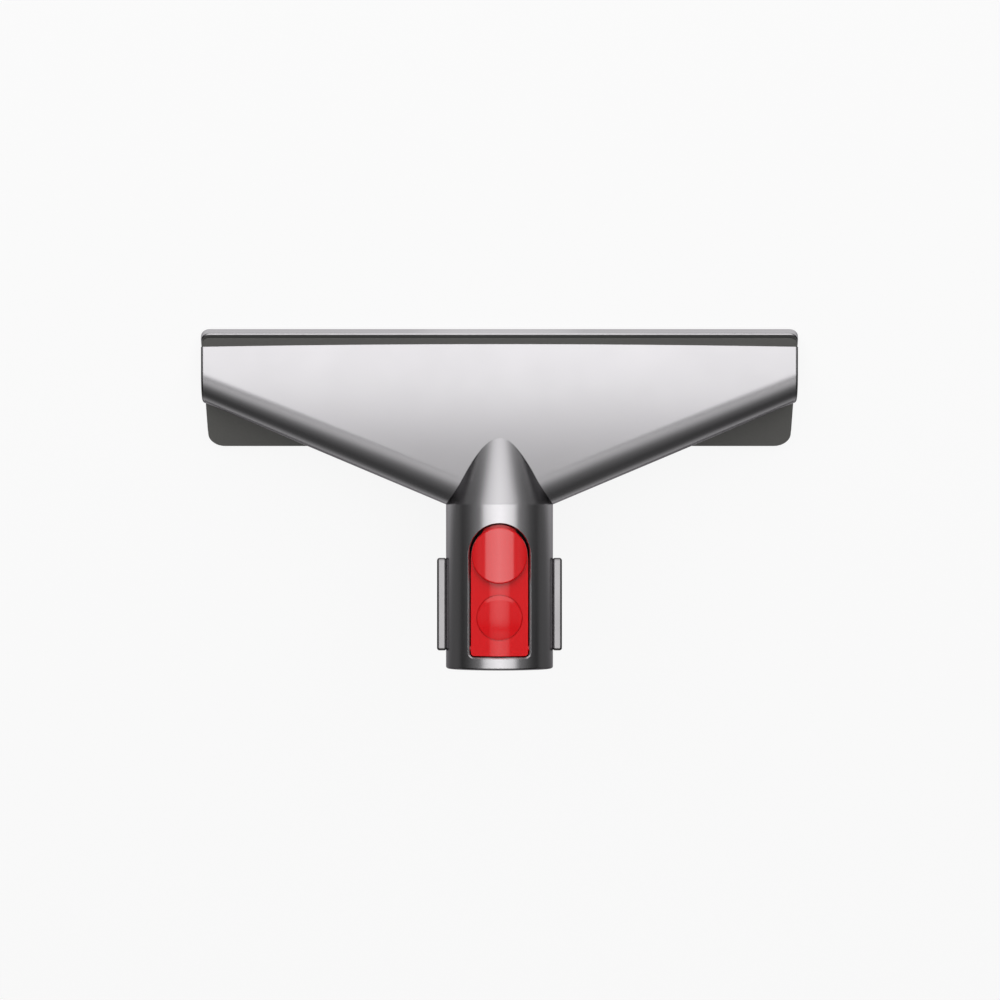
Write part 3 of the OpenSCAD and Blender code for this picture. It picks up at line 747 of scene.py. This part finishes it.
def inside_of_duct(centre, facing):
    """The coat of the duct's inner faces and its foot, and None for the outer ones."""
    x, v, w = centre
    depth = fan_depth(x, v, leaning=0)[0]
    r = shoulder_radius(v)[0]
    if v > SHOULDER_FOOT[1] and abs(x) < r:
        depth = max(depth, math.sqrt(r * r - x * x))
    on_cover = (v + w) * math.sin(NECK_TILT) < COVER_TOP_Z + TOUCHING
    foot_ring = on_cover and (facing.y + facing.z) * math.sin(NECK_TILT) < FACING_DOWN
    outside = depth - abs(w) < OUTSIDE_DEPTH or abs(x) > HALF_HEAD - END_DEPTH
    return None if v < SEAM_V - TOUCHING and outside and not foot_ring else 0


def leaning_wall(spot, facing):
    """Moves the fan's inner walls in as far as its faces lean."""
    past_wall = abs(spot.z) - upright_face(spot.x) + FAN_WALL
    share = share_between(spot.y, *LEAN_END_V) * share_between(past_wall, *LEAN_END_W)
    come_in = share * share_between(abs(spot.z), 0, LEAN_START_W) * face_lean(spot.y)[0]
    return Vector((spot.x, spot.y, spot.z - math.copysign(come_in, spot.z)))


keep_faces(duct_skin, "duct_body", inside_of_duct, leaning_wall)
duct = duct_skin.piece("duct", [silver_paint], neck_point, neck_turn)
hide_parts("duct_body")
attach(duct, "nozzle")

# Spigot. The tube of the neck, which plugs into the wand: a dark moulding, painted silver
# outside, with a satin keyed rail on each side and a window for the latch with a soft rim.
# It is pressed over the duct's socket.
MOUTH_V = 104.2
MOUTH_ROUND = 0.8
FRONT_SECTOR = 60
SECTOR_STEP = 2.5
WINDOW_HALF = 9.87
WINDOW_ROUND_V = 65.47
WINDOW_END_V = 99.9
WINDOW_CORNER_R = 1.5
RIM = 0.6
RIM_AT_ROUND_END = 0.12
RIM_FADE = 0.7
ROUND_STEPS = 60
SIDE_STEPS = 16
CORNER_STEPS = 10
END_STEPS = 10
BEVEL_CORNER = 0.12
# The tube's silver is the sole's silver paint made lighter, as painted light, so that the tube
# shows a brighter highlight than the fan's face.
SILVER_TUBE_PAINTED_LIGHT = (0.608, 0.595, 0.612, 1)
SATIN_GREY = (0.27, 0.262, 0.268, 1)
BARE_BLACK = (0.022, 0.022, 0.023, 1)
tube_paint_painted_light = silver_finish("tube_paint_painted_light", SILVER_TUBE_PAINTED_LIGHT)
rail_paint = finish("satin_rail_paint",
                    {"Colour": SATIN_GREY, "Colour spread": 0.12, "Roughness": 0.17,
                     "Roughness spread": 0.08, "Grain scale": 6000.0, "Grain height": 1e-6,
                     "Peel scale": 350.0, "Peel height": 0.0},
                    Metallic=1.0)
bare_plastic = finish("bare_dark_plastic",
                      {"Colour": BARE_BLACK, "Colour spread": 0.2, "Roughness": 0.42,
                       "Roughness spread": 0.1, "Grain scale": 4200.0, "Grain height": 8e-6,
                       "Peel scale": 400.0, "Peel height": 0.0},
                      Specular_IOR_Level=0.35)
PAINTED, RAIL, BARE = range(3)


def rim_at(nv):
    """Width of the rim's bevel, which is narrow at the window's round end."""
    return RIM + (RIM_AT_ROUND_END - RIM) * max(-nv, 0) ** RIM_FADE


def window_line(grow):
    """The window's outline, drawn out by a distance, as places and ways out of it."""
    half, end_v, r = WINDOW_HALF + grow, WINDOW_END_V + grow, WINDOW_CORNER_R + grow
    straight = end_v - r - WINDOW_ROUND_V

    def arc(centre_x, centre_v, radius, start, steps, step):
        return [(centre_x + radius * math.cos(a), centre_v + radius * math.sin(a), math.cos(a),
                 math.sin(a)) for a in (start - step * i for i in range(steps + 1))]

    line = arc(0, WINDOW_ROUND_V, half, 0, ROUND_STEPS, math.pi / ROUND_STEPS)
    line += [(-half, WINDOW_ROUND_V + straight * i / SIDE_STEPS, -1, 0)
             for i in range(1, SIDE_STEPS)]
    line += arc(r - half, end_v - r, r, math.pi, CORNER_STEPS, math.pi / 2 / CORNER_STEPS)
    line += [(r - half + 2 * (half - r) * i / END_STEPS, end_v, 0, 1)
             for i in range(1, END_STEPS)]
    line += arc(half - r, end_v - r, r, math.pi / 2, CORNER_STEPS, math.pi / 2 / CORNER_STEPS)
    line += [(half, end_v - r - straight * i / SIDE_STEPS, 1, 0) for i in range(1, SIDE_STEPS)]
    return line


def bevelled_edge(skin, outer, inner):
    """A flat bevel with a narrow soft corner on both sides."""
    rows = []
    for t, turn in ((0, 0), (BEVEL_CORNER, 0.5), (1 - BEVEL_CORNER, 0.5), (1, 1)):
        rows.append([(Vector(start).lerp(Vector(end), t),
                      Vector(first).normalized().slerp(Vector(last).normalized(), turn))
                     for (start, first), (end, last) in zip(outer, inner)])
    skin.grid(rows, closed=True)


def on_tube(x, v, w=None):
    """A point on the tube's outside, over x, with its normal."""
    w = math.sqrt(NECK_R ** 2 - x * x) if w is None else w
    return (x, v, w), (x, 0, w)


TUBE_ROWS = 24
BACK_STEP = 3
spigot_skin = Skin()
front_end_v = MOUTH_V - MOUTH_ROUND
sector = int(FRONT_SECTOR / SECTOR_STEP)
turns = [math.radians(SECTOR_STEP * i) for i in range(-sector, sector + 1)]
rim = [(a * NECK_R, SEAM_V) for a in turns] + [(a * NECK_R, front_end_v)
                                               for a in reversed(turns)]
window = window_line(0)
rim_line = [(x + rim_at(nv) * nx, v + rim_at(nv) * nv) for x, v, nx, nv in window]
hole = [(math.asin(x / NECK_R) * NECK_R, v) for x, v in rim_line]
between = [(a * NECK_R, SEAM_V + (front_end_v - SEAM_V) * i / TUBE_ROWS)
           for a in turns[1:-1] for i in range(1, TUBE_ROWS)]
spigot_skin.sheet(rim, [hole], between,
                  lambda s, v: on_tube(NECK_R * math.sin(s / NECK_R), v))
back = [math.radians(a) for a in range(FRONT_SECTOR, 360 - FRONT_SECTOR + 1, BACK_STEP)]
spigot_skin.grid([[on_tube(NECK_R * math.sin(a), v, NECK_R * math.cos(a)) for a in back]
                  for v in (SEAM_V, front_end_v)])
bevelled_edge(spigot_skin, [on_tube(x, v) for x, v in rim_line],
              [((x, v, on_tube(x, v)[0][2] - rim_at(nv)), (-nx, -nv, 0))
               for x, v, nx, nv in window])


CLOSE_BY = 0.05
UPRIGHT = 0.2


def spigot_coat(centre, facing):
    """The coat of the tube's mouth and inner faces, and None for the outside."""
    at_mouth = centre.y > front_end_v - CLOSE_BY
    if math.hypot(centre.x, centre.z) > NECK_R - TOUCHING and not at_mouth:
        return None
    return PAINTED if at_mouth else BARE


def below_rim(spot, facing):
    """Draws the top of the window's walls down to the foot of the rim's bevel."""
    at_rim = math.hypot(spot.x, spot.z) > NECK_R - CLOSE_BY and spot.z > 0
    beside = WINDOW_ROUND_V - WINDOW_HALF - CLOSE_BY < spot.y < WINDOW_END_V + CLOSE_BY
    if at_rim and beside and abs(spot.x) < WINDOW_HALF + CLOSE_BY and abs(facing.z) < UPRIGHT:
        out = Vector((spot.x, min(spot.y - WINDOW_ROUND_V, 0))).normalized()
        return Vector((spot.x, spot.y, spot.z - rim_at(out.y)))
    return spot


keep_faces(spigot_skin, "spigot", spigot_coat, below_rim)

# The rails are plain bars with round edges, rooted in the tube.
RAIL_X = (17.7, 20.9)
RAIL_V = (67.2, 98.2)
RAIL_HALF = 2.0
RAIL_EDGE_R = 0.9
RAIL_EDGE_STEPS = 9
RAIL_CORNER_STEPS = 6
spigot_skin.coat = RAIL
rail_middle = [sum(span) / 2 for span in (RAIL_X, RAIL_V)]
rail_core = [(span[1] - span[0]) / 2 - RAIL_EDGE_R for span in (RAIL_X, RAIL_V)]
for way in (-1, 1):
    bar = []
    for i in range(-RAIL_EDGE_STEPS, RAIL_EDGE_STEPS + 1):
        lift = math.pi / 2 * i / RAIL_EDGE_STEPS
        half = (i > 0) - (i < 0)
        w = half * (RAIL_HALF - RAIL_EDGE_R) + RAIL_EDGE_R * math.sin(lift)
        ring = []
        for k, (corner_x, corner_v) in enumerate(((1, 1), (-1, 1), (-1, -1), (1, -1))):
            for m in range(RAIL_CORNER_STEPS + 1):
                a = math.pi / 2 * (k + m / RAIL_CORNER_STEPS)
                nx, nv = math.cos(a) * math.cos(lift), math.sin(a) * math.cos(lift)
                ring.append(((way * (rail_middle[0] + corner_x * rail_core[0]
                                     + RAIL_EDGE_R * nx),
                              rail_middle[1] + corner_v * rail_core[1] + RAIL_EDGE_R * nv, w),
                             (way * nx, nv, math.sin(lift))))
        bar.append(ring)
    spigot_skin.grid(bar, closed=True)
    spigot_skin.face([spigot_skin.point(place, (0, 0, -1)) for place, _ in bar[0]])
    spigot_skin.face([spigot_skin.point(place, (0, 0, 1)) for place, _ in bar[-1]])
spigot = spigot_skin.piece("spigot_tube", [tube_paint_painted_light, rail_paint, bare_plastic],
                           neck_point, neck_turn)
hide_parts("spigot")
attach(spigot, "nozzle")

# Latch spring. A short coil of drawn steel wire with closed ends, which stands on the pad in
# the window's pocket and holds the button up. Pressing the button would flatten it; here it
# is drawn at rest, at its free length.
BUTTON_V = 66.23
WIRE_D = 0.45
COIL_D = 5.1
COIL_TURNS = 3.5
CLOSED_TURNS = 0.75
STEPS_A_TURN = 30
WIRE_SIDES = 10
SPRING_W = (13.2, 17.65)
STEEL = (0.55, 0.55, 0.56, 1)
spring_steel = finish("spring_steel",
                      {"Colour": STEEL, "Colour spread": 0.2, "Roughness": 0.28,
                       "Roughness spread": 0.2, "Grain scale": 9000.0, "Grain height": 2e-6,
                       "Peel scale": 2500.0, "Peel height": 2e-6}, Metallic=1.0)
free_height = SPRING_W[1] - SPRING_W[0] - WIRE_D


def wire_w(turn):
    """Height of the wire's middle after a number of turns."""
    dead = CLOSED_TURNS * WIRE_D
    if turn < CLOSED_TURNS:
        return turn * WIRE_D
    if turn > COIL_TURNS - CLOSED_TURNS:
        return free_height - (COIL_TURNS - turn) * WIRE_D
    share = (turn - CLOSED_TURNS) / (COIL_TURNS - 2 * CLOSED_TURNS)
    return dead + share * (free_height - 2 * dead)


coil = Skin()
rings = []
for i in range(int(COIL_TURNS * STEPS_A_TURN) + 1):
    turn = i / STEPS_A_TURN
    a = 2 * math.pi * turn
    ring = []
    for k in range(WIRE_SIDES):
        b = 2 * math.pi * k / WIRE_SIDES
        r = COIL_D / 2 + WIRE_D / 2 * math.cos(b)
        ring.append(((r * math.cos(a), BUTTON_V + r * math.sin(a),
                      SPRING_W[0] + WIRE_D / 2 + wire_w(turn) + WIRE_D / 2 * math.sin(b)),
                     (math.cos(b) * math.cos(a), math.cos(b) * math.sin(a), math.sin(b))))
    rings.append(ring)
coil.grid(rings, closed=True)
for ring, turn, away in ((rings[0], 0, -1), (rings[-1], COIL_TURNS, 1)):
    a = 2 * math.pi * turn
    coil.face([coil.point(place, (-away * math.sin(a), away * math.cos(a), 0))
               for place, _ in ring])
spring = coil.piece("coil_spring", [spring_steel], neck_point, neck_turn)
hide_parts("latch_spring")
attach(spring, "nozzle")
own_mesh(spring)

# Release latch. One red moulding: a crowned lever with the round push button and the ramped
# catch that locks in the wand. Its trunnions click in dimples in the window's walls. The
# button's face and the catch's bevel are polished, and the lever is a little duller.
LATCH_GAP = 0.4
EDGE_BREAK = 0.1
CROWN_R = 10.4
CROWN_W = 7.1
FLANK = math.radians(20)
BUTTON_R = 9.3
BUTTON_CROWN_R = 14.9
BUTTON_CROWN_W = 5.0
BUTTON_EDGE_R = 0.5
CATCH_V = 86.8
CATCH_R = 7.35
CATCH_RISE = 0.7
CATCH_RAMP = 6
CATCH_BEVEL = (0.12, 1.5)
CATCH_BEVEL_TILT = math.radians(17)
CROWN_SHARE = 0.4
GROOVE_R = 7.62
GROOVE_DEPTH = 0.35
SINK = 1.3
SINK_V = (67.0, 64.0)
TONGUE_X = (5.2, 6.2)
TONGUE_REST = 0.03
BUTTON_SKIRT = 0.05
RED = (0.54, 0.002, 0.0045, 1)
lever_red = finish("red_lever",
                   {"Colour": RED, "Colour spread": 0.05, "Roughness": 0.2,
                    "Roughness spread": 0.06, "Grain scale": 6000.0, "Grain height": 8e-7,
                    "Peel scale": 500.0, "Peel height": 1e-6}, Specular_IOR_Level=0.55)
button_red = finish("red_polished_button",
                    {"Colour": RED, "Colour spread": 0.05, "Roughness": 0.06,
                     "Roughness spread": 0.02, "Grain scale": 6000.0, "Grain height": 0.0,
                     "Peel scale": 500.0, "Peel height": 1e-6}, Specular_IOR_Level=0.9)
LEVER, BUTTON = range(2)


def lever_top(x):
    """Height of the lever's crowned top and its slope across."""
    bend = CROWN_R * math.sin(FLANK)
    if abs(x) < bend:
        rise = math.sqrt(CROWN_R ** 2 - x * x)
        return CROWN_W + rise, -x / rise
    return (CROWN_W + CROWN_R * math.cos(FLANK) - (abs(x) - bend) * math.tan(FLANK),
            -math.copysign(math.tan(FLANK), x))


def sunk(v):
    """How far the lever's top is sunk round the button's far side."""
    return SINK * share_between(v, *SINK_V)


def on_lever(x, v):
    """A point on the lever's top, with its normal."""
    w, slope = lever_top(x)
    return (x, v, w - sunk(v)), (-slope, 0, 1)


def on_button(x, v):
    """A point on the button's crown, with its normal."""
    w = BUTTON_CROWN_W + math.sqrt(BUTTON_CROWN_R ** 2 - x * x)
    return (x, v, w), (x, 0, w - BUTTON_CROWN_W)


def on_catch(x, v):
    """A point on the catch, which falls off towards the mouth, with its normal."""
    w, slope = lever_top(x)
    along = share_between(v, CATCH_V - CATCH_R, CATCH_V + CATCH_R)
    fall = CATCH_RISE * CATCH_RAMP * along ** (CATCH_RAMP - 1) / (2 * CATCH_R)
    return (x, v, w + CATCH_RISE * (1 - along ** CATCH_RAMP)), (-slope, fall, 1)


CIRCLE_STEPS = 96


def circle(centre_v, radius, drawn_in=lambda a: 0):
    """A round outline on the neck's axis, drawn in by a width that changes round it."""
    line = []
    for a in (2 * math.pi * i / CIRCLE_STEPS for i in range(CIRCLE_STEPS)):
        r = radius - drawn_in(a)
        line.append((r * math.cos(a), centre_v + r * math.sin(a), math.cos(a), math.sin(a)))
    return line


def catch_bevel(a):
    """Width of the bevel round the catch, broad on the button's side."""
    return CATCH_BEVEL[0] + (CATCH_BEVEL[1] - CATCH_BEVEL[0]) * max(-math.sin(a), 0) ** 2


def rounded_edge(skin, outer, corner, inner, steps=6):
    """Rounds the edge of two faces. Each line gives places, and the ends give normals."""
    rows = []
    for i in range(steps + 1):
        t = i / steps
        row = []
        for (start, first), middle, (end, last) in zip(outer, corner, inner):
            start, middle, end = Vector(start), Vector(middle), Vector(end)
            place = start * (1 - t) ** 2 + middle * 2 * t * (1 - t) + end * t * t
            normal = Vector(first).normalized().slerp(Vector(last).normalized(), t)
            row.append((place, normal))
        rows.append(row)
    skin.grid(rows, closed=True)


def trimmed(x, v):
    """Draws the rim beside the button in to it. Only a tongue is left on its far side."""
    away = math.hypot(x, v - BUTTON_V)
    if v > BUTTON_V or away < BUTTON_R + TONGUE_REST:
        return x, v
    share = share_between(abs(x), *TONGUE_X)
    drawn = 1 - share * (away - BUTTON_R - TONGUE_REST) / away
    return x * drawn, BUTTON_V + (v - BUTTON_V) * drawn


FIELD_X = [0.6 * i for i in range(-16, 17)]
FIELD_V = [55.5 + 1.1 * i for i in range(41)]
latch_skin = Skin()
field = [(x, v) for x in FIELD_X for v in FIELD_V]
lever_line = [(*trimmed(x, v), nx, nv) for x, v, nx, nv in window_line(-LATCH_GAP)]
broken_line = [(*trimmed(x, v), nx, nv)
               for x, v, nx, nv in window_line(-LATCH_GAP - EDGE_BREAK)]
groove = circle(CATCH_V, GROOVE_R)
button_line = circle(BUTTON_V, BUTTON_R)
latch_skin.sheet([spot[:2] for spot in broken_line],
                 [[spot[:2] for spot in button_line], [spot[:2] for spot in groove]],
                 field, on_lever)
rounded_edge(latch_skin, [on_lever(x, v) for x, v, _, _ in broken_line],
             [on_lever(x, v)[0] for x, v, _, _ in lever_line],
             [((x, v, on_lever(x, v)[0][2] - EDGE_BREAK), (nx, nv, 0))
              for x, v, nx, nv in lever_line], steps=3)

latch_skin.coat = BUTTON
face_line = circle(BUTTON_V, BUTTON_R - BUTTON_EDGE_R)
latch_skin.sheet([spot[:2] for spot in face_line], [], field, on_button)
under_edge = [((x, v, on_button(x, v)[0][2] - BUTTON_EDGE_R), (nx, nv, 0))
              for x, v, nx, nv in button_line]
rounded_edge(latch_skin, [on_button(x, v) for x, v, _, _ in face_line],
             [on_button(x, v)[0] for x, v, _, _ in button_line], under_edge)
latch_skin.grid([under_edge, [((x, v, on_lever(x, v)[0][2] - BUTTON_SKIRT), (nx, nv, 0))
                              for x, v, nx, nv in button_line]], closed=True)

latch_skin.coat = LEVER
ramp_line = circle(CATCH_V, CATCH_R, catch_bevel)
catch_line = circle(CATCH_V, CATCH_R)
latch_skin.sheet([spot[:2] for spot in ramp_line], [], field, on_catch)
tilt_out, tilt_up = math.sin(CATCH_BEVEL_TILT), math.cos(CATCH_BEVEL_TILT)
bevel_top, bevel_foot, catch_wall, groove_foot = [], [], [], []
for (x, v, nx, nv), edge in zip(ramp_line, catch_line):
    top, _ = on_catch(x, v)
    slope = lever_top(x)[1]
    width = math.hypot(edge[0] - x, edge[1] - v)
    low = max(top[2] - width * math.tan(CATCH_BEVEL_TILT), lever_top(edge[0])[0])
    tilted = (nx * tilt_out - CROWN_SHARE * slope, nv * tilt_out, tilt_up)
    bevel_top.append((top, tilted))
    bevel_foot.append(((edge[0], edge[1], low), tilted))
    catch_wall.append(((edge[0], edge[1], low), (nx, nv, 0)))
    groove_foot.append(((edge[0], edge[1], lever_top(edge[0])[0] - GROOVE_DEPTH), (nx, nv, 0)))
latch_skin.coat = BUTTON
latch_skin.grid([bevel_top, bevel_foot], closed=True)
latch_skin.coat = LEVER
latch_skin.grid([catch_wall, groove_foot], closed=True)
latch_skin.grid([[(place, (-lever_top(place[0])[1], 0, 1)) for place, _ in groove_foot],
                 [((x, v, lever_top(x)[0] - GROOVE_DEPTH), (-lever_top(x)[1], 0, 1))
                  for x, v, _, _ in groove]], closed=True)
latch_skin.grid([[((x, v, lever_top(x)[0] - deep), (-nx, -nv, 0)) for x, v, nx, nv in groove]
                 for deep in (GROOVE_DEPTH, 0)], closed=True)


STEEP = 0.3
TOP_DEPTH = 0.3
EDGE_DEPTH = 0.02


def latch_coat(centre, facing):
    """The coat of the latch's underside and rim, and None for its top."""
    top = lever_top(centre.x)[0]
    if facing.z > STEEP:
        return None if centre.z > top - TOP_DEPTH and abs(centre.x) < WINDOW_HALF else LEVER
    on_wall = any(abs(math.hypot(centre.x, centre.y - middle) - r) < TOUCHING
                  for middle, r in ((BUTTON_V, BUTTON_R), (CATCH_V, CATCH_R)))
    above = centre.z > top - BUTTON_SKIRT
    return None if abs(facing.z) < STEEP and on_wall and above else LEVER


def below_edge(spot, facing):
    """Draws the top of the lever's rim down to the foot of its broken edge."""
    x, v = trimmed(spot.x, spot.y)
    if abs(facing.z) < STEEP and spot.z > lever_top(spot.x)[0] - EDGE_DEPTH:
        return Vector((x, v, on_lever(x, v)[0][2] - EDGE_BREAK))
    return Vector((x, v, spot.z))


keep_faces(latch_skin, "release_latch", latch_coat, below_edge)
latch = latch_skin.piece("latch_lever", [lever_red, button_red], neck_point, neck_turn)
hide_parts("release_latch")
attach(latch, "latch")
